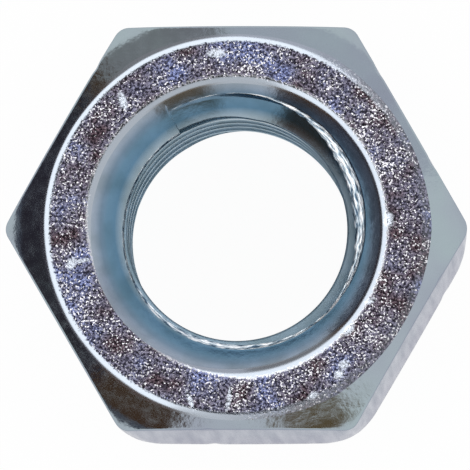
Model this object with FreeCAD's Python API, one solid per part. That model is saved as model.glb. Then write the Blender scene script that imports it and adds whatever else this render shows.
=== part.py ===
"""Hexagon nut, 3/8 inch size with a 16 threads per inch coarse thread, cold formed, tapped and zinc plated.

Row frame in millimetres: the nut lies flat on its lower bearing face, the thread's axis is +Z, the origin is
the middle of that face, and a pair of corners points along X, so a pair of flats faces +Y and -Y.

The real nut is one piece of steel, so it is one solid: a hexagon prism with rounded corners, trimmed by a
turned shape that gives both faces their chamfer, bored and countersunk from both ends, and then tapped.
"""

import math
import os

import FreeCAD
import Part

# Driving sizes, in millimetres and degrees
INCH = 25.4
ACROSS_FLATS = 9 / 16 * INCH
THICKNESS = 21 / 64 * INCH
THREAD_MAJOR_DIAMETER = 3 / 8 * INCH
THREADS_PER_INCH = 16
CORNER_RADIUS = 0.5  # rounds the six upright edges
RING_INSET = 0.39  # how far inside the flats the bearing ring's outer edge lies, were that edge sharp
CHAMFER_ANGLE = 30.0  # from the bearing ring down to the corners
CHAMFER_EDGE_RADIUS = 0.3  # softens the ring's outer edge
COUNTERSINK_STEP = 0.49  # how far outside the thread's major radius the countersink's mouth lies
COUNTERSINK_ANGLE = 35.0  # from the bearing ring down into the bore
COUNTERSINK_EDGE_RADIUS = 0.4  # softens the ring's inner edge
THREAD_START_ANGLE = 95.0  # where the groove's middle crosses the lower face, about the axis from +X
CUT_OVERRUN = 0.2  # how far each cutting shape runs past what it cuts

# The unified screw thread's form: 60 degrees between the flanks, with a flat crest and a flat root
FLANK_SLOPE = math.tan(math.radians(60 / 2))
CREST_SHARE = 1 / 4  # of the pitch, the flat that is left at the minor diameter
ROOT_SHARE = 1 / 8  # of the pitch, the flat at the major diameter
PITCH = INCH / THREADS_PER_INCH
THREAD_HEIGHT = PITCH * (1 - CREST_SHARE - ROOT_SHARE) / (2 * FLANK_SLOPE)

# Radii that follow from the driving sizes
MAJOR_RADIUS = THREAD_MAJOR_DIAMETER / 2
MINOR_RADIUS = MAJOR_RADIUS - THREAD_HEIGHT
CORNERS = 6
SHARP_CORNER_RADIUS = ACROSS_FLATS / 2 / math.cos(math.pi / CORNERS)
RING_OUTER_RADIUS = ACROSS_FLATS / 2 - RING_INSET
RING_INNER_RADIUS = MAJOR_RADIUS + COUNTERSINK_STEP

ORIGIN = FreeCAD.Vector(0, 0, 0)
UP = FreeCAD.Vector(0, 0, 1)
HALF_TURN = 180
FULL_TURN = 360


def hexagon_prism():
    """The six flats, with rounded upright corners."""
    corners = []
    for i in range(CORNERS + 1):
        angle = i * math.tau / CORNERS
        corners.append(FreeCAD.Vector(math.cos(angle), math.sin(angle), 0) * SHARP_CORNER_RADIUS)
    prism = Part.Face(Part.makePolygon(corners)).extrude(UP * THICKNESS)
    upright_edges = [edge for edge in prism.Edges if edge.BoundBox.ZLength > THICKNESS / 2]
    return prism.makeFillet(CORNER_RADIUS, upright_edges)


def softened_corner(before, corner, after, radius):
    """Start, middle and end of the arc that rounds the corner between two straight runs."""
    towards_before = (before - corner).normalize()
    towards_after = (after - corner).normalize()
    half_angle = towards_before.getAngle(towards_after) / 2
    setback = radius / math.tan(half_angle)
    bisector = (towards_before + towards_after).normalize()
    nearest = corner + bisector * (radius / math.sin(half_angle) - radius)
    return corner + towards_before * setback, nearest, corner + towards_after * setback


def turned_face(edge_corner, foot, beyond, edge_radius):
    """Half of a turned shape's section, in the XZ plane and alike at both ends.

    It runs out from the axis in the plane of the bearing face, rounds the edge corner, slopes to its foot
    and climbs to the other end. beyond is a place in that plane, on the side where the rounding starts.
    """
    start, middle, end = softened_corner(beyond, edge_corner, foot, edge_radius)
    lower = [start, middle, end, foot]
    upper = [FreeCAD.Vector(point.x, 0, THICKNESS - point.z) for point in lower]
    on_axis = FreeCAD.Vector(0, 0, THICKNESS)
    edges = [
        Part.makeLine(ORIGIN, lower[0]),
        Part.Arc(*lower[:3]).toShape(),
        Part.makeLine(lower[2], lower[3]),
        Part.makeLine(lower[3], upper[3]),
        Part.makeLine(upper[3], upper[2]),
        Part.Arc(*upper[2::-1]).toShape(),
        Part.makeLine(upper[0], on_axis),
        Part.makeLine(on_axis, ORIGIN),
    ]
    return Part.Face(Part.Wire(edges))


def chamfered_blank():
    """The turned shape that trims the prism: the bearing rings, their soft outer edges and the chamfers."""
    ring_edge = FreeCAD.Vector(RING_OUTER_RADIUS, 0, 0)
    past_corners = SHARP_CORNER_RADIUS + CUT_OVERRUN
    drop = (past_corners - RING_OUTER_RADIUS) * math.tan(math.radians(CHAMFER_ANGLE))
    foot = FreeCAD.Vector(past_corners, 0, drop)
    face = turned_face(ring_edge, foot, ORIGIN, CHAMFER_EDGE_RADIUS)
    return face.revolve(ORIGIN, UP, FULL_TURN)


def bore_halves():
    """The drilled bore with both countersinks, as two half turns that split each crest twice a turn."""
    mouth = FreeCAD.Vector(RING_INNER_RADIUS, 0, 0)
    depth = (RING_INNER_RADIUS - MINOR_RADIUS) * math.tan(math.radians(COUNTERSINK_ANGLE))
    foot = FreeCAD.Vector(MINOR_RADIUS, 0, depth)
    on_the_ring = FreeCAD.Vector(RING_OUTER_RADIUS, 0, 0)
    face = turned_face(mouth, foot, on_the_ring, COUNTERSINK_EDGE_RADIUS)
    half = face.revolve(ORIGIN, UP, HALF_TURN)
    other_half = half.copy()
    other_half.rotate(ORIGIN, UP, HALF_TURN)
    return half, other_half


def groove_half_turn():
    """Half a turn of the groove that the tap cuts, with its middle starting on +X at zero height."""
    inner_radius = MINOR_RADIUS - CUT_OVERRUN
    half_root = PITCH * ROOT_SHARE / 2
    half_mouth = half_root + (MAJOR_RADIUS - inner_radius) * FLANK_SLOPE
    profile = Part.makePolygon([
        FreeCAD.Vector(inner_radius, 0, -half_mouth),
        FreeCAD.Vector(MAJOR_RADIUS, 0, -half_root),
        FreeCAD.Vector(MAJOR_RADIUS, 0, half_root),
        FreeCAD.Vector(inner_radius, 0, half_mouth),
        FreeCAD.Vector(inner_radius, 0, -half_mouth),
    ])
    path = Part.Wire(Part.makeHelix(PITCH, PITCH / 2, MAJOR_RADIUS))
    make_solid, follow_helix = True, True
    return path.makePipeShell([profile], make_solid, follow_helix)


def tapped(nut):
    """The nut with the groove cut by half turns, from below the lower face to above the upper one."""
    groove = groove_half_turn()
    groove.rotate(ORIGIN, UP, THREAD_START_ANGLE)
    groove.translate(-UP * PITCH)
    for _ in range(2 * (math.ceil(THICKNESS / PITCH) + 2)):
        nut = nut.cut(groove)
        groove.rotate(ORIGIN, UP, HALF_TURN)
        groove.translate(UP * PITCH / 2)
    return nut


def hex_nut():
    """The finished nut: the trimmed hexagon, bored, countersunk and tapped."""
    nut = hexagon_prism().common(chamfered_blank())
    for half in bore_halves():
        nut = nut.cut(half)
    return tapped(nut)


def export(shape, node):
    """Writes one node as its own STEP file, once it is known to be one sound solid."""
    if len(shape.Solids) != 1 or not shape.Solids[0].isValid():
        raise ValueError(f"{node} came out as {len(shape.Solids)} solids, or as one that is not valid")
    shape.Solids[0].exportStep(f"parts/{node}.step")
    print(f"{node}: volume {shape.Solids[0].Volume:.2f} mm3, {len(shape.Solids[0].Faces)} faces")


os.makedirs("parts", exist_ok=True)
export(hex_nut(), "hex_nut")
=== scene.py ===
"""A zinc plated hexagon nut, 3/8 inch size, on a pale floor. Lengths are in millimetres up to the mesh."""

import math

import bmesh
import bpy
import numpy as np
from mathutils import Matrix, Vector


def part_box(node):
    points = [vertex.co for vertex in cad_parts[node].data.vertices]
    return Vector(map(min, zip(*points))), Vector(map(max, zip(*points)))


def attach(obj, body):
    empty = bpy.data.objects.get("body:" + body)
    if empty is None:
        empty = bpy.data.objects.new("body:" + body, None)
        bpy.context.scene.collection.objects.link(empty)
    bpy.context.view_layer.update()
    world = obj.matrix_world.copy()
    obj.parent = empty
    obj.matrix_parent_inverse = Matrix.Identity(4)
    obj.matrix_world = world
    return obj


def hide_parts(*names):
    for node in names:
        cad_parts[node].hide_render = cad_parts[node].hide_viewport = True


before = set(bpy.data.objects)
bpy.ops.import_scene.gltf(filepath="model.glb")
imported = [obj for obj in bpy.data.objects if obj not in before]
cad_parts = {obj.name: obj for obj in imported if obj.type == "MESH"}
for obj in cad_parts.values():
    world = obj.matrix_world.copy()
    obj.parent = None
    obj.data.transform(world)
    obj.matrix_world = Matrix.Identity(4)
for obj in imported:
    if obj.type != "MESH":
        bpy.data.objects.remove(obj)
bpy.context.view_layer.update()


# --- Cold-formed blank -------------------------------------------------------------------------------------
# The nut starts as a slug of carbon steel pressed into a six-sided die, which fills sharply at the top and
# less at the bottom, so the lower corners stay rounder. Both ends are chamfered, which leaves a flat bearing
# ring inside each chamfer. All of it is turned about the Z axis, with a pair of corners along X.

MM = 0.001  # metres
low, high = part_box("hex_nut")
THICKNESS = (high.z - low.z) / MM
HALF_FLATS = (high.y - low.y) / 2 / MM
INSIDE_CAD = 0.004  # how far the flats stay inside the CAD's
MAJOR = 9.525 / 2  # the thread's largest radius

COLUMNS = 480  # steps round the nut
CROWDING = 0.4  # the share by which steps are narrower at the corners, and wider half way between them

RING_OUTER = HALF_FLATS - 0.45
RING_INNER = MAJOR + 0.49
CHAMFER_LEAN = 30  # degrees, from straight up to the way that the chamfer faces
CHAMFER_SLOPE = math.tan(math.radians(CHAMFER_LEAN))
COUNTERSINK_LEAN = -35  # degrees, and inwards
SAG_FROM = 7.5  # past this radius the chamfer falls away towards the corners
SAG = 0.3

# Radii of the rounded edges
RING_EDGE_BEND = 0.55
MOUTH_BEND = 0.6
FLAT_EDGE_BEND = 0.12
UPPER_CORNER_BEND = 0.55
LOWER_CORNER_BEND = 2.15
SETBACK = 0.232  # how far in the ring's edge moves for each millimetre that it is rounder

# Uneven places, each with its height, its middle and its width, the last two in degrees round the nut
RING_EDGE_WEAR = [(0.75, 18, 48), (0.35, -145, 32)]
MOUTH_WEAR = [(0.4, -78, 34), (-0.4, -140, 36)]
UPPER_CORNER_WEAR = [(0.12, 0, 20)]
LOWER_CORNER_WEAR = [(0.2, 60, 20)]
NICKS = [(0.05, 18.3, 1.3), (0.05, 47.7, 1.3), (0.03, -14.1, 1.3), (0.03, 131.0, 1.3), (0.03, -98.0, 1.3)]

rng = np.random.default_rng(38)
steps = np.linspace(0, 6, COLUMNS + 1)
turn = (steps - CROWDING * np.sin(2 * np.pi * steps) / (2 * np.pi)) * math.pi / 3


def humps(angle, places):
    """The sum of humps round the nut, each its height at its middle and fading like a bell curve."""
    total = 0 * angle
    for height, middle, width in places:
        away = np.degrees(np.angle(np.exp(1j * (angle - math.radians(middle)))))
        total = total + height * np.exp(-((away / width) ** 2))
    return total


def uneven(angle, longest, shortest):
    """Unevenness round the nut, -1 to 1: sines of whole turns, from the longest wave to the shortest."""
    total = 0 * angle
    for waves in range(longest, shortest):
        total = total + np.sin(waves * angle + rng.uniform(0, 6.28)) * rng.uniform(0.5, 1)
    return total / np.abs(total).max()


def hexagon(angle, bend):
    """Distance from the axis to a hexagon whose corners are rounded with the bend radius.

    On a flat it is half the width over the cosine of the angle from the flat's middle. On a corner it is the
    far side of a circle of the bend radius, whose centre lies on the corner's line.
    """
    aside = (angle + math.pi / 6) % (math.pi / 3) - math.pi / 6
    centre = (HALF_FLATS - bend) / math.cos(math.pi / 6)
    touch = np.arctan2(bend / 2, centre + bend * math.cos(math.pi / 6))
    flat = HALF_FLATS / np.cos(math.pi / 6 - np.abs(aside))
    corner = centre * np.cos(aside) + np.sqrt(np.maximum(bend**2 - (centre * np.sin(aside)) ** 2, 0))
    return np.where(np.abs(aside) < touch, corner, flat)


def soft_edge(radius, height, lean_before, lean_after, bend, rows):
    """Rows of (radius, height) that round the edge between two faces, which lean out from straight up.

    The bend's centre is inside the edge by the bend radius times the sum of the faces' normals over one plus
    their dot product, and each row is the bend radius away from it along a normal between the two.
    """
    before, after = np.radians(lean_before), np.radians(lean_after)
    inward = bend / (1 + np.cos(after - before))
    centre_r = radius - inward * (np.sin(before) + np.sin(after))
    centre_z = height - inward * (np.cos(before) + np.cos(after))
    lean = before + (after - before) * np.linspace(0, 1, rows)[:, None]
    return np.stack(np.broadcast_arrays(centre_r + bend * np.sin(lean), centre_z + bend * np.cos(lean)))


def across(before, after, shares):
    """Rows between the last row of one strip and the first of the next, at the given shares of the way."""
    start, end = before[:, -1:], after[:, :1]
    return start + (end - start) * np.array(shares)[None, :, None]


def evenly(rows):
    """Shares of the way for a number of evenly spaced rows."""
    return np.arange(1, rows + 1) / (rows + 1)


def chamfer_depth(radius, ring_outer):
    """Depth of the chamfer below the ring: the distance past the ring's edge times the chamfer's slope.

    The sag adds to that the square of the distance past the place where it starts, times the sag.
    """
    return (radius - ring_outer) * CHAMFER_SLOPE + SAG * np.maximum(radius - SAG_FROM, 0) ** 2


def face_of_blank(corner_bend, ring_rows):
    """One end of the blank as strips of rows from the mouth outwards.

    They are the mouth's edge, the ring, the ring's edge, the chamfer and the flats' edge. A row is one radius
    and one height for each step round the nut.
    """
    wobble = 0.012 * uneven(turn, 2, 9)
    mouth_bend = MOUTH_BEND + humps(turn, MOUTH_WEAR) + 0.05 * uneven(turn, 3, 24)
    mouth = soft_edge(RING_INNER + 0 * turn, THICKNESS, COUNTERSINK_LEAN, 0, mouth_bend, 8)
    rounder = humps(turn, RING_EDGE_WEAR) + 0.06 * uneven(turn, 3, 30)
    ring_outer = RING_OUTER - SETBACK * rounder + wobble
    ring_edge = soft_edge(ring_outer, THICKNESS, 0, CHAMFER_LEAN, RING_EDGE_BEND + rounder, 9)
    side = hexagon(turn, corner_bend) - INSIDE_CAD - humps(turn, NICKS)
    side_lean = np.degrees(np.arctan(CHAMFER_SLOPE + 2 * SAG * np.maximum(side - SAG_FROM, 0)))
    side_height = THICKNESS - chamfer_depth(side, ring_outer)
    flat_edge = soft_edge(side, side_height, side_lean, 90, FLAT_EDGE_BEND, 5)
    chamfer = across(ring_edge, flat_edge, evenly(12))
    chamfer[1] = THICKNESS - chamfer_depth(chamfer[0], ring_outer)
    return mouth, across(mouth, ring_edge, evenly(ring_rows)), ring_edge, chamfer, flat_edge


upper_bend = UPPER_CORNER_BEND + humps(turn, UPPER_CORNER_WEAR)
upper = face_of_blank(upper_bend, 16)
lower = face_of_blank(LOWER_CORNER_BEND + humps(turn, LOWER_CORNER_WEAR), 8)
lower = [np.stack([radius, THICKNESS - height]) for radius, height in lower]

# The flats, whose corners get rounder with the power 1.5 of the share of the way down
share = evenly(14)[:, None]
flat_height = upper[4][1, -1] + (lower[4][1, -1] - upper[4][1, -1]) * share
less_filled = np.maximum(1 - flat_height / THICKNESS, 0) ** 1.5
corner_bend = upper_bend + (LOWER_CORNER_BEND - UPPER_CORNER_BEND) * less_filled
flats = np.stack([hexagon(turn[None, :] + 0 * share, corner_bend) - INSIDE_CAD, flat_height])


# --- Countersunk and tapped bore ---------------------------------------------------------------------------
# The blank is drilled and countersunk at both ends, and a tap then cuts a 3/8-16 right-hand thread in the
# steel. Where the thread runs out through the countersink, it leaves a thin edge, torn and rolled over.

PITCH = 25.4 / 16
FLANK_HEIGHT = PITCH * 5 / 16  # how much of the pitch each flank takes along the axis
MINOR = MAJOR - FLANK_HEIGHT * math.sqrt(3)
HALF_ROOT = PITCH / 16
THREAD_START = math.radians(95)  # where the groove's middle crosses the lower face

SLOPE = math.tan(math.radians(-COUNTERSINK_LEAN))
STEEP_SLOPE = math.tan(math.radians(41))
STEEP_FROM = 4.82  # the drill's point was worn, so the cone steepens inside this radius
STEEP_SOFT = 0.19  # how far above and below that place the steepening is spread


def countersink(height):
    """Radius of the countersink at a height: a cone's, and more where it steepens.

    The steepening adds the difference of the two cones' slopes times the depth past its place, which starts
    as a parabola so that the wall bends softly.
    """
    sunk = np.minimum(THICKNESS - height, height)
    past = sunk - (RING_INNER - STEEP_FROM) * SLOPE
    start = np.clip(past + STEEP_SOFT, 0, 2 * STEEP_SOFT) ** 2 / (4 * STEEP_SOFT)
    bent = start + np.maximum(past - STEEP_SOFT, 0)
    return RING_INNER - sunk / SLOPE + bent * (1 / SLOPE - 1 / STEEP_SLOPE)


def eased(value, start, end):
    """Nought up to the start, one from the end on, and three squares less two cubes of the share between."""
    part = np.clip((value - start) / (end - start), 0, 1)
    return 3 * part**2 - 2 * part**3


# Distances from the nut's end at which the groove is gone, and at which it is whole
MIDDLE_FADE = (0.2, 0.75)  # for the groove's middle
WALL_FADE = (0.2, 0.42)  # for each place on its wall


def thread(angle, height):
    """Radius of the thread: the root, then flanks that come in by root three times the rise, then the crest.

    Where the groove, or its middle, comes near either end of the nut, it fades into the countersink.
    """
    turns = (height / PITCH - (angle - THREAD_START) / (2 * math.pi) + 0.5) % 1 - 0.5
    cut = np.clip(MAJOR - (np.abs(turns) * PITCH - HALF_ROOT) * math.sqrt(3), MINOR, MAJOR)
    middle = height - turns * PITCH
    fade = eased(np.minimum(middle, THICKNESS - middle), *MIDDLE_FADE)
    fade = fade * eased(np.minimum(height, THICKNESS - height), *WALL_FADE)
    wall = np.maximum(countersink(height), MINOR)
    return np.where(cut > wall, wall + (cut - wall) * fade, cut)


SHALLOWEST = 0.002  # a groove less deep than this counts as none


def run_out(heights):
    """For each step round the nut, the first of the heights where the thread is deeper than the cone."""
    deeper = thread(turn[None, :], heights[:, None]) - countersink(heights)[:, None]
    first = np.argmax(deeper > SHALLOWEST, axis=0)
    columns = np.arange(turn.size)
    over, under = deeper[first, columns], deeper[first - 1, columns]
    back = np.clip((over - SHALLOWEST) / (over - under), 0, 1)
    return heights[first] + (heights[first - 1] - heights[first]) * back


depth = np.linspace(0.2, 1.3, 2201)  # from below the mouth's edge to below the cone
top_end = run_out(THICKNESS - depth)
bottom_end = run_out(depth)

# The thread's rows follow the helix from one groove's middle to the next, and stop where the thread runs out.
# The second row lies at the flank's start and the last but one at its end.
half_pitch = np.array([0.0, 0.09922, 0.13, 0.25, 0.4, 0.55, 0.5954, 0.64])
one_pitch = np.concatenate([half_pitch, [PITCH / 2], PITCH - half_pitch[:0:-1]])
first_middle = -THREAD_START / (2 * math.pi) * PITCH
helix_start = (np.arange(-2, 8)[:, None] * PITCH + one_pitch).reshape(-1, 1) + first_middle
helix_height = np.clip(helix_start + turn[None, :] / (2 * math.pi) * PITCH, bottom_end, top_end)[::-1]
bore = np.stack([np.maximum(thread(turn[None, :], helix_height), countersink(helix_height)), helix_height])

SINK_SHARES = np.array([0.06, 0.14, 0.23, 0.33, 0.44, 0.56, 0.69, 0.82, 0.93])
upper_sink = across(upper[0][:, ::-1], bore, SINK_SHARES)
upper_sink[0] = countersink(upper_sink[1])
lower_sink = across(bore, lower[0], 1 - SINK_SHARES[::-1])
lower_sink[0] = countersink(lower_sink[1])

# The thin edge over the thread's run-out, rolled inwards: out to a ragged tip, which dips, and back under
ragged = 0.85 + 0.15 * uneven(turn, 8, 90)
reach = np.maximum(humps(turn, [(0.5, 18, 42)]) * ragged - 0.03, 0)
reach = reach + np.maximum(humps(turn, [(0.16, -95, 45)]) - 0.03, 0)
lip_out = np.array([0.35, 0.7, 0.93, 1.0, 0.9, 0.5])[:, None]
lip_down = np.array([0.1, 0.23, 0.34, 0.4, 0.5, 0.42])[:, None]
lip_ridges = np.array([0.008, -0.008, 0.008, 0, 0, 0])[:, None] * uneven(turn, 5, 60)
lip = np.stack([bore[0, :1] - reach * lip_out, bore[1, :1] - reach * (lip_down + lip_ridges)])

# One closed loop of strips: out over the top, down the flats, in under the bottom and up the bore
PRESSED, FORMED, CUT, TORN = range(4)
over_the_top = zip(upper, (PRESSED, PRESSED, PRESSED, FORMED, FORMED))
under_the_bottom = zip(lower[::-1], (FORMED, FORMED, PRESSED, PRESSED, PRESSED))
up_the_bore = [(lower_sink, CUT), (bore, CUT), (lip, TORN), (upper_sink, CUT)]
strips = [*over_the_top, (flats, FORMED)]
strips += [(strip[:, ::-1], finish) for strip, finish in [*under_the_bottom, *up_the_bore]]
radius, height = np.concatenate([strip for strip, _ in strips], axis=1)
finish_of_row = np.concatenate([np.full(strip.shape[1], finish) for strip, finish in strips])

points = np.stack([radius * np.cos(turn), radius * np.sin(turn), height], axis=-1).reshape(-1, 3) * MM
row, column = np.meshgrid(np.arange(radius.shape[0]), np.arange(COLUMNS), indexing="ij")
here = row * turn.size + column
below = (row + 1) % radius.shape[0] * turn.size + column
quads = np.stack([here, below, below + 1, here + 1], axis=-1).reshape(-1, 4)

nut_mesh = bpy.data.meshes.new("nut")
nut_mesh.from_pydata(points.tolist(), [], quads.tolist())
nut_mesh.polygons.foreach_set("material_index", np.repeat(finish_of_row, COLUMNS))
nut_mesh.polygons.foreach_set("use_smooth", np.ones(len(quads), bool))

# The last step round the nut lies on the first, and rows meet where the thread runs out, so both are merged
MERGED_WITHIN = 0.0004 * MM
SHORTEST_EDGE = 0.0001 * MM
sewn = bmesh.new()
sewn.from_mesh(nut_mesh)
bmesh.ops.remove_doubles(sewn, verts=sewn.verts, dist=MERGED_WITHIN)
bmesh.ops.dissolve_degenerate(sewn, edges=sewn.edges, dist=SHORTEST_EDGE)
sewn.to_mesh(nut_mesh)
sewn.free()
nut = bpy.data.objects.new("nut", nut_mesh)
bpy.context.scene.collection.objects.link(nut)


# --- Zinc plating ------------------------------------------------------------------------------------------
# The finished nut is tumbled clean, electroplated with a few thousandths of a millimetre of zinc and given a
# clear blue-grey passivation. The plating copies what lies under it, so each way that the steel was worked
# has its own finish.


def linear(code):
    """A colour written as an sRGB hex code, as the linear values that the shaders take."""
    channels = [int(code[i:i + 2], 16) / 255 for i in (1, 3, 5)]
    return [c / 12.92 if c <= 0.04045 else ((c + 0.055) / 1.055) ** 2.4 for c in channels] + [1]


def add(tree, kind, inputs=(), stops=(), **settings):
    """Adds a node with its settings, and sets its inputs to values or links them to nodes or their sockets.

    A hex code stands for its colour, a node for its first output, and stops are a colour ramp's.
    """
    node = tree.nodes.new(kind)
    for name, value in settings.items():
        setattr(node, name, value)
    for key, value in dict(inputs).items():
        if isinstance(value, bpy.types.Node):
            value = value.outputs[0]
        if isinstance(value, bpy.types.NodeSocket):
            tree.links.new(value, node.inputs[key])
        else:
            node.inputs[key].default_value = linear(value) if isinstance(value, str) else value
    for i, (place, code) in enumerate(stops):
        stop = node.color_ramp.elements[i] if i < 2 else node.color_ramp.elements.new(place)
        stop.position = place
        stop.color = linear(code)
    return node


def plated(name, base, roughness):
    """A new material for the nut: its nodes, its shader and the point in millimetres."""
    made = bpy.data.materials.new(name)
    made.use_nodes = True
    tree = made.node_tree
    tree.nodes.clear()
    shader = add(tree, "ShaderNodeBsdfPrincipled", {
        "Base Color": base, "Metallic": 1.0, "Roughness": roughness})
    add(tree, "ShaderNodeOutputMaterial", {"Surface": shader})
    place = add(tree, "ShaderNodeTexCoord")
    point = add(tree, "ShaderNodeVectorMath", {
        0: place.outputs["Object"], "Scale": 1 / MM}, operation="SCALE")
    nut_mesh.materials.append(made)
    return tree, shader, point


LUMP = 0.7  # a noise's lumps are about this far across at a scale of 1

# The bearing rings keep the matt, crystalline grain of the press tool under the zinc. How each facet catches
# the light is painted into the colour: a dark ground of painted shade with painted glints, lilac and blue
# where the passivation is thicker. The real grain is a few hundredths of a millimetre across, and it is drawn
# a little coarser so that it shows.
tree, shader, point = plated("zinc_over_pressed_grain", "#8E8B9C", 0.17)
grain = add(tree, "ShaderNodeTexNoise", {"Vector": point, "Scale": LUMP / 0.064, "Detail": 3.0})
fine = add(tree, "ShaderNodeTexNoise", {"Vector": point, "Scale": LUMP / 0.035, "Detail": 1.0})
cloud = add(tree, "ShaderNodeTexNoise", {"Vector": point, "Scale": LUMP / 0.9, "Detail": 2.0})
ground = add(tree, "ShaderNodeValToRGB", {0: cloud}, stops=[
    (0.34, "#68585F"), (0.44, "#807B8B"), (0.54, "#84849A"), (0.66, "#8A94C0")])
# Each facet of the grain is painted from dark to white: painted shade and painted glints
facet_shade_and_glints = add(tree, "ShaderNodeValToRGB", {0: grain}, stops=[
    (0.4, "#221E28"), (0.5, "#9C9CA6"), (0.58, "#FFFFFF")])
colour = add(tree, "ShaderNodeMix", {0: 0.92, 6: ground, 7: facet_shade_and_glints}, data_type="RGBA", blend_type="MULTIPLY")

# Painted glints, which gather in drifts
glint_speck = add(tree, "ShaderNodeTexNoise", {"Vector": point, "Scale": LUMP / 0.05, "Detail": 1.0})
drift = add(tree, "ShaderNodeTexNoise", {"Vector": point, "Scale": LUMP / 0.5, "Detail": 2.0})
glint_speck = add(tree, "ShaderNodeMath", {0: drift, 1: 0.35, 2: glint_speck}, operation="MULTIPLY_ADD")
painted_glint = add(tree, "ShaderNodeMapRange", {"Value": glint_speck, "From Min": 0.785, "From Max": 0.87})
# The near-white colour here is a painted glint
colour = add(tree, "ShaderNodeMix", {0: painted_glint, 6: colour.outputs[2], 7: "#F6F6FA"}, data_type="RGBA")

# Rubbed borders: the mouth's edge, further in at the lower left, and the outer edge except at the right. A
# near-white band painted along the mouth's border is a painted highlight.
flat_point = add(tree, "ShaderNodeVectorMath", {0: point, 1: (1, 1, 0)}, operation="MULTIPLY")
from_axis = add(tree, "ShaderNodeVectorMath", {0: flat_point}, operation="LENGTH").outputs["Value"]
ragged_radius = add(tree, "ShaderNodeMath", {0: grain, 1: 0.3, 2: from_axis}, operation="MULTIPLY_ADD")
to_lower_left = add(tree, "ShaderNodeVectorMath", {0: point, 1: (-0.77, -0.64, 0)}, operation="DOT_PRODUCT")
further_in = add(tree, "ShaderNodeMapRange", {
    "Value": to_lower_left.outputs["Value"], "From Min": 3.0, "From Max": 5.3, "To Max": 0.24})
mouth_radius = add(tree, "ShaderNodeMath", {0: ragged_radius, 1: further_in}, operation="ADD")
mouth_border = add(tree, "ShaderNodeMapRange", {
    "Value": mouth_radius, "From Min": RING_INNER + 0.32, "From Max": RING_INNER + 0.22})
to_right = add(tree, "ShaderNodeVectorMath", {0: point, 1: (0.97, -0.24, 0)}, operation="DOT_PRODUCT")
not_right = add(tree, "ShaderNodeMapRange", {
    "Value": to_right.outputs["Value"], "From Min": 1.0, "From Max": 5.5, "To Min": 1.0, "To Max": 0.12})
outer_border = add(tree, "ShaderNodeMapRange", {
    "Value": ragged_radius, "From Min": RING_OUTER, "From Max": RING_OUTER + 0.07})
outer_border = add(tree, "ShaderNodeMath", {0: outer_border, 1: not_right}, operation="MULTIPLY")
rubbed = add(tree, "ShaderNodeMath", {0: mouth_border, 1: outer_border}, operation="MAXIMUM")
# The near-white stops are a painted highlight along the mouth's border, and the grey-blue ones are the rubbed
# zinc
rubbed_tone_and_highlight = add(tree, "ShaderNodeValToRGB", {0: mouth_border}, stops=[
    (0.0, "#AEB6C0"), (0.12, "#F2F4F8"), (0.6, "#F2F4F8"), (1.0, "#A9B1BB")])
colour = add(tree, "ShaderNodeMix", {0: rubbed, 6: colour.outputs[2], 7: rubbed_tone_and_highlight}, data_type="RGBA")

# Bruises, broken up by the grain
bruise = add(tree, "ShaderNodeAttribute", attribute_name="bruise").outputs["Fac"]
broken = add(tree, "ShaderNodeMath", {
    0: bruise, 1: grain, 2: -0.14}, operation="MULTIPLY_ADD", use_clamp=True)
bruised = add(tree, "ShaderNodeMapRange", {"Value": broken, "From Min": 0.05, "From Max": 0.3})
colour = add(tree, "ShaderNodeMix", {0: bruised, 6: colour.outputs[2], 7: "#D8E0EC"}, data_type="RGBA")
tree.links.new(colour.outputs[2], shader.inputs["Base Color"])

# Relief: the grain, its fine part and rounded peaks, flattened where it is rubbed
cells = add(tree, "ShaderNodeTexVoronoi", {"Vector": point, "Scale": 1 / 0.2}).outputs["Distance"]
peaks = add(tree, "ShaderNodeMapRange", {"Value": cells, "From Min": 0.22, "From Max": 0.0, "To Max": 0.35})
relief = add(tree, "ShaderNodeMath", {0: fine, 1: 0.35, 2: grain}, operation="MULTIPLY_ADD")
relief = add(tree, "ShaderNodeMath", {0: relief, 1: peaks}, operation="ADD")
kept = add(tree, "ShaderNodeMath", {0: 1.0, 1: rubbed}, operation="SUBTRACT")
bump = add(tree, "ShaderNodeBump", {"Height": relief, "Distance": 0.05 * MM, "Strength": kept})
tree.links.new(bump.outputs[0], shader.inputs["Normal"])

# Chamfers and flats slid along the die, so they are satin smooth, with a mottle drawn out upwards and faint
# clouds of grey and teal that turn lilac towards the bottom. Seen edge on, they reflect less than white: a
# painted shade, for the shadowed floor round the nut that they reflect.
tree, shader, point = plated("zinc_over_die_formed_steel", "#A5B2B9", 0.16)
# The specular tint is painted shade in the edge-on reflection
shader.inputs["Specular Tint"].default_value = linear("#B6BAC8")
cloud = add(tree, "ShaderNodeTexNoise", {"Vector": point, "Scale": LUMP / 2.2, "Detail": 3.0})
colour = add(tree, "ShaderNodeValToRGB", {0: cloud}, stops=[
    (0.3, "#9AA1AE"), (0.5, "#A1ACB5"), (0.7, "#A3B2B7")])
height_there = add(tree, "ShaderNodeSeparateXYZ", {0: point}).outputs["Z"]
downwards = add(tree, "ShaderNodeMapRange", {
    "Value": height_there, "From Min": THICKNESS - 1.6, "From Max": 0.0}, interpolation_type="SMOOTHSTEP")
colour = add(tree, "ShaderNodeMix", {0: downwards, 6: colour, 7: "#A19DB0"}, data_type="RGBA")
tree.links.new(colour.outputs[2], shader.inputs["Base Color"])
drawn_out = add(tree, "ShaderNodeVectorMath", {0: point, 1: (1, 1, 0.06)}, operation="MULTIPLY")
mottle = add(tree, "ShaderNodeTexNoise", {"Vector": drawn_out, "Scale": LUMP / 0.22, "Detail": 3.0})
rough = add(tree, "ShaderNodeMapRange", {
    "Value": mottle, "From Min": 0.3, "From Max": 0.7, "To Min": 0.11, "To Max": 0.2})
tree.links.new(rough.outputs[0], shader.inputs["Roughness"])
bump = add(tree, "ShaderNodeBump", {"Height": mottle, "Distance": 0.012 * MM, "Strength": 1.0})
tree.links.new(bump.outputs[0], shader.inputs["Normal"])
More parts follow.
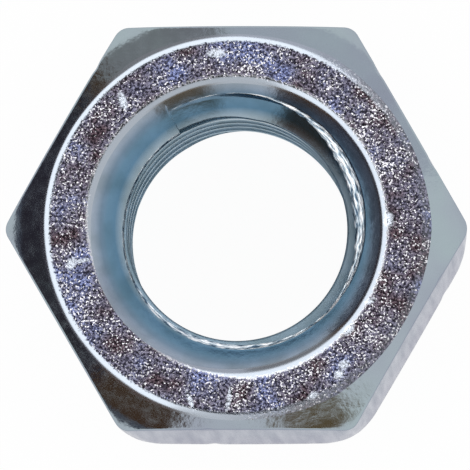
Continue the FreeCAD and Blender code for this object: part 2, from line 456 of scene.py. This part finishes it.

# The countersinks are cut smooth and shine. A darker blue band on the cone's steeper lower part is a painted
# reflection. Deep in the thread the colour is paler, painted light that lifts the shade of its grooves, and
# dull.
tree, shader, point = plated("zinc_over_cut_countersink", "#9FB0C4", 0.16)
flat_point = add(tree, "ShaderNodeVectorMath", {0: point, 1: (1, 1, 0)}, operation="MULTIPLY")
from_axis = add(tree, "ShaderNodeVectorMath", {0: flat_point}, operation="LENGTH").outputs["Value"]
up_the_cone = add(tree, "ShaderNodeMapRange", {
    "Value": from_axis, "From Min": MINOR, "From Max": RING_INNER})
# Darker blue half way down the cone is a painted reflection of its steeper part
colour = add(tree, "ShaderNodeValToRGB", {0: up_the_cone}, stops=[
    (0.0, "#A9B8C2"), (0.11, "#95A7B4"), (0.3, "#5F829C"), (0.5, "#66879F"), (0.66, "#73899E"),
    (0.79, "#919FB0"), (0.95, "#A4AEBA")])
height_there = add(tree, "ShaderNodeSeparateXYZ", {0: point}).outputs["Z"]
# Paler deep in the thread: painted light over the shade of its grooves
deep = add(tree, "ShaderNodeMapRange", {
    "Value": height_there, "From Min": THICKNESS - 1.0, "From Max": THICKNESS - 1.6})
colour = add(tree, "ShaderNodeMix", {0: deep, 6: colour, 7: "#A8C0D0"}, data_type="RGBA")
cloud = add(tree, "ShaderNodeTexNoise", {"Vector": point, "Scale": LUMP / 0.8, "Detail": 3.0})
stain = add(tree, "ShaderNodeValToRGB", {0: cloud}, stops=[(0.35, "#DDE0DC"), (0.6, "#FFFFFF")])
colour = add(tree, "ShaderNodeMix", {
    0: 0.8, 6: colour.outputs[2], 7: stain}, data_type="RGBA", blend_type="MULTIPLY")
tree.links.new(colour.outputs[2], shader.inputs["Base Color"])
rough = add(tree, "ShaderNodeMapRange", {"Value": deep, "To Min": 0.17, "To Max": 0.55})
tree.links.new(rough.outputs[0], shader.inputs["Roughness"])
mottle = add(tree, "ShaderNodeTexNoise", {"Vector": point, "Scale": LUMP / 0.3, "Detail": 3.0})
bump = add(tree, "ShaderNodeBump", {"Height": mottle, "Distance": 0.008 * MM, "Strength": 1.0})
tree.links.new(bump.outputs[0], shader.inputs["Normal"])

# The thread's torn edge is rough, with a bright tone that is a painted highlight and dark cracks of painted
# shade, which are drawn coarser than the real ones.
tree, shader, point = plated("zinc_over_torn_thread_edge", "#DDE2E8", 0.28)
parts = add(tree, "ShaderNodeSeparateXYZ", {0: point}).outputs
round_it = add(tree, "ShaderNodeMath", {0: parts["Y"], 1: parts["X"]}, operation="ARCTAN2")
flat_point = add(tree, "ShaderNodeVectorMath", {0: point, 1: (1, 1, 0)}, operation="MULTIPLY")
from_axis = add(tree, "ShaderNodeVectorMath", {0: flat_point}, operation="LENGTH").outputs["Value"]
along_thread = add(tree, "ShaderNodeCombineXYZ", {"X": round_it, "Y": from_axis, "Z": parts["Z"]})
cracks_relief_and_painted_light = add(tree, "ShaderNodeTexNoise", {"Vector": along_thread, "Scale": LUMP / 0.06, "Detail": 3.0})
# Painted shade in the cracks, running to a painted highlight on the torn edge
colour = add(tree, "ShaderNodeValToRGB", {0: cracks_relief_and_painted_light}, stops=[
    (0.38, "#4E6478"), (0.5, "#B4C2CC"), (0.62, "#F2F5F8")])
tree.links.new(colour.outputs[0], shader.inputs["Base Color"])
bump = add(tree, "ShaderNodeBump", {"Height": cracks_relief_and_painted_light, "Distance": 0.02 * MM, "Strength": 1.0})
tree.links.new(bump.outputs[0], shader.inputs["Normal"])

# Bruises on the upper ring, fading like a bell curve: x, y, half length, half width, direction in degrees
BRUISES = np.array([
    (-5.79, -1.28, 0.30, 0.20, 60), (-5.40, -1.18, 0.42, 0.09, 10), (-3.99, 4.47, 0.42, 0.17, 105),
    (-1.60, -6.15, 0.45, 0.10, 110), (-0.24, -6.10, 0.62, 0.10, 80), (3.82, -4.88, 0.25, 0.20, 40),
    (2.73, -5.97, 0.25, 0.14, 30), (4.74, -2.64, 0.22, 0.13, 20), (4.00, -3.64, 0.30, 0.17, 50),
    (5.40, 0.26, 0.34, 0.22, 90), (-0.69, 6.15, 0.40, 0.20, 0), (3.63, -5.23, 0.25, 0.20, 30),
])
places = np.zeros(len(nut_mesh.vertices) * 3)
nut_mesh.vertices.foreach_get("co", places)
places = places.reshape(-1, 3) / MM
to_x = places[:, None, 0] - BRUISES[:, 0]
to_y = places[:, None, 1] - BRUISES[:, 1]
direction = np.radians(BRUISES[:, 4])
along = (to_x * np.cos(direction) + to_y * np.sin(direction)) / BRUISES[:, 2]
aside = (to_y * np.cos(direction) - to_x * np.sin(direction)) / BRUISES[:, 3]
on_upper_ring = places[:, 2] > THICKNESS - 0.2
bruised = np.exp(-(along**2 + aside**2)).max(axis=1) * on_upper_ring
nut_mesh.attributes.new("bruise", "FLOAT", "POINT").data.foreach_set("value", bruised.astype(np.float32))

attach(nut, "root")
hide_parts("hex_nut")


# --- Floor, light and camera -------------------------------------------------------------------------------
# The nut lies on white paper in even white light. Metal shows what stands round it, so plain cards stand
# there for it to reflect: a dark one overhead, dark ones to the left, a brown one in front and bright ones
# above and behind. The camera looks nearly straight down from far away.

FLOOR_REACH = 3  # metres to each side
FLOOR_DROP = 0.01 * MM  # keeps the paper clear of the bearing ring that lies on it
floor_mesh = bpy.data.meshes.new("floor")
round_the_floor = ((-1, -1), (1, -1), (1, 1), (-1, 1))
floor_corners = [(x * FLOOR_REACH, y * FLOOR_REACH, -FLOOR_DROP) for x, y in round_the_floor]
floor_mesh.from_pydata(floor_corners, [], [(0, 1, 2, 3)])
floor = bpy.data.objects.new("floor", floor_mesh)
bpy.context.scene.collection.objects.link(floor)

# Paper is seen as white, in reflections too, and keeps a little of the shadow. From underneath it is clear.
paper = bpy.data.materials.new("paper")
paper.use_nodes = True
tree = paper.node_tree
tree.nodes.clear()
matt = add(tree, "ShaderNodeBsdfDiffuse", {"Color": "#FFFFFF"})
glow = add(tree, "ShaderNodeEmission", {"Color": "#FFFFFF", "Strength": 1.0})
ray = add(tree, "ShaderNodeLightPath").outputs
seen = add(tree, "ShaderNodeMath", {0: ray["Is Camera Ray"], 1: ray["Is Glossy Ray"]}, operation="MAXIMUM")
seen = add(tree, "ShaderNodeMath", {0: seen, 1: ray["Is Transmission Ray"]}, operation="MAXIMUM")
glow_share = add(tree, "ShaderNodeMath", {0: seen, 1: 0.96}, operation="MULTIPLY")
lit = add(tree, "ShaderNodeMixShader", {0: glow_share, 1: matt, 2: glow})
under = add(tree, "ShaderNodeNewGeometry").outputs["Backfacing"]
clear = add(tree, "ShaderNodeBsdfTransparent")
surface = add(tree, "ShaderNodeMixShader", {0: under, 1: lit, 2: clear})
add(tree, "ShaderNodeOutputMaterial", {"Surface": surface})
floor_mesh.materials.append(paper)

world = bpy.data.worlds.new("studio")
bpy.context.scene.world = world
world.use_nodes = True
world.node_tree.nodes["Background"].inputs["Color"].default_value = linear("#FFFFFF")
world.node_tree.nodes["Background"].inputs["Strength"].default_value = 1.0

CARD_DISTANCE = 0.6  # metres
CARD_COLUMNS, CARD_ROWS = 40, 16


def card(name, code, strength, azimuths, rises, soft=0):
    """A patch of a sphere round the nut, between two azimuths and two rises above the floor, in degrees.

    Only reflections see it, and it fades out towards its edges over the soft degrees.
    """
    azimuth = np.linspace(*azimuths, CARD_COLUMNS + 1)[None, :]
    rise = np.linspace(*rises, CARD_ROWS + 1)[:, None]
    level = np.cos(np.radians(rise))
    places = np.stack([np.cos(np.radians(azimuth)) * level, np.sin(np.radians(azimuth)) * level,
                       np.sin(np.radians(rise)) + 0 * azimuth], -1) * CARD_DISTANCE
    row, column = np.meshgrid(np.arange(CARD_ROWS), np.arange(CARD_COLUMNS), indexing="ij")
    first = row * (CARD_COLUMNS + 1) + column
    corners = np.stack([first, first + 1, first + CARD_COLUMNS + 2, first + CARD_COLUMNS + 1], -1)
    mesh = bpy.data.meshes.new(name)
    mesh.from_pydata(places.reshape(-1, 3).tolist(), [], corners.reshape(-1, 4).tolist())
    from_sides = np.minimum(azimuth - azimuths[0], azimuths[1] - azimuth)
    from_ends = np.minimum(rise - rises[0], rises[1] - rise)
    inside = np.minimum(from_sides, from_ends)
    share = eased(inside, 0, soft) if soft else np.ones(inside.shape)
    shares = mesh.attributes.new("share", "FLOAT", "POINT")
    shares.data.foreach_set("value", share.ravel().astype(np.float32))

    made = bpy.data.materials.new(name)
    made.use_nodes = True
    tree = made.node_tree
    tree.nodes.clear()
    glow = add(tree, "ShaderNodeEmission", {"Color": code, "Strength": strength})
    clear = add(tree, "ShaderNodeBsdfTransparent")
    kept = add(tree, "ShaderNodeAttribute", attribute_name="share").outputs["Fac"]
    faded = add(tree, "ShaderNodeMixShader", {0: kept, 1: clear, 2: glow})
    add(tree, "ShaderNodeOutputMaterial", {"Surface": faded})
    mesh.materials.append(made)

    piece = bpy.data.objects.new(name, mesh)
    bpy.context.scene.collection.objects.link(piece)
    piece.visible_camera = False
    piece.visible_diffuse = False
    piece.visible_shadow = False


card("overhead_card", "#26242C", 1.0, (0, 360), (72, 90))
card("left_card", "#38323A", 1.0, (136, 222), (22, 40))
card("left_card_front", "#583E2C", 1.0, (222, 251), (15, 40))
card("left_card_back", "#5E4632", 1.0, (129, 136), (12, 40))
card("left_card_low", "#62656F", 1.0, (131, 250), (12, 22))
card("brown_card", "#7A6446", 1.0, (275, 308), (13, 42), soft=8)
card("grey_card", "#A09E9E", 1.0, (96, 129), (17, 38))
card("pale_card", "#E4E4EA", 1.0, (22, 96), (17, 40))
card("soft_box", "#FFFFFF", 2.0, (38, 246), (41, 71))

LENS = 1600  # millimetres, as for the sensor's width
SENSOR = 36
VIEW_WIDTH = 16.581 * MM
TILT_X, TILT_Y = 1.9, 4.5  # degrees by which the camera leans towards +X and -Y
target = Vector((-0.021, -0.289, THICKNESS)) * MM
back = Vector((math.tan(math.radians(TILT_X)), -math.tan(math.radians(TILT_Y)), 1)).normalized()
right = Vector((0, 1, 0)).cross(back).normalized()
up = back.cross(right)
place = target + back * (VIEW_WIDTH / SENSOR * LENS)
camera_data = bpy.data.cameras.new("camera")
camera_data.lens = LENS
camera_data.sensor_width = SENSOR
camera_data.clip_start = 0.01
camera_data.clip_end = 10
camera = bpy.data.objects.new("camera", camera_data)
bpy.context.scene.collection.objects.link(camera)
camera.matrix_world = Matrix((
    (right.x, up.x, back.x, place.x),
    (right.y, up.y, back.y, place.y),
    (right.z, up.z, back.z, place.z),
    (0, 0, 0, 1),
))
bpy.context.scene.camera = camera
bpy.context.scene.view_settings.view_transform = "Standard"
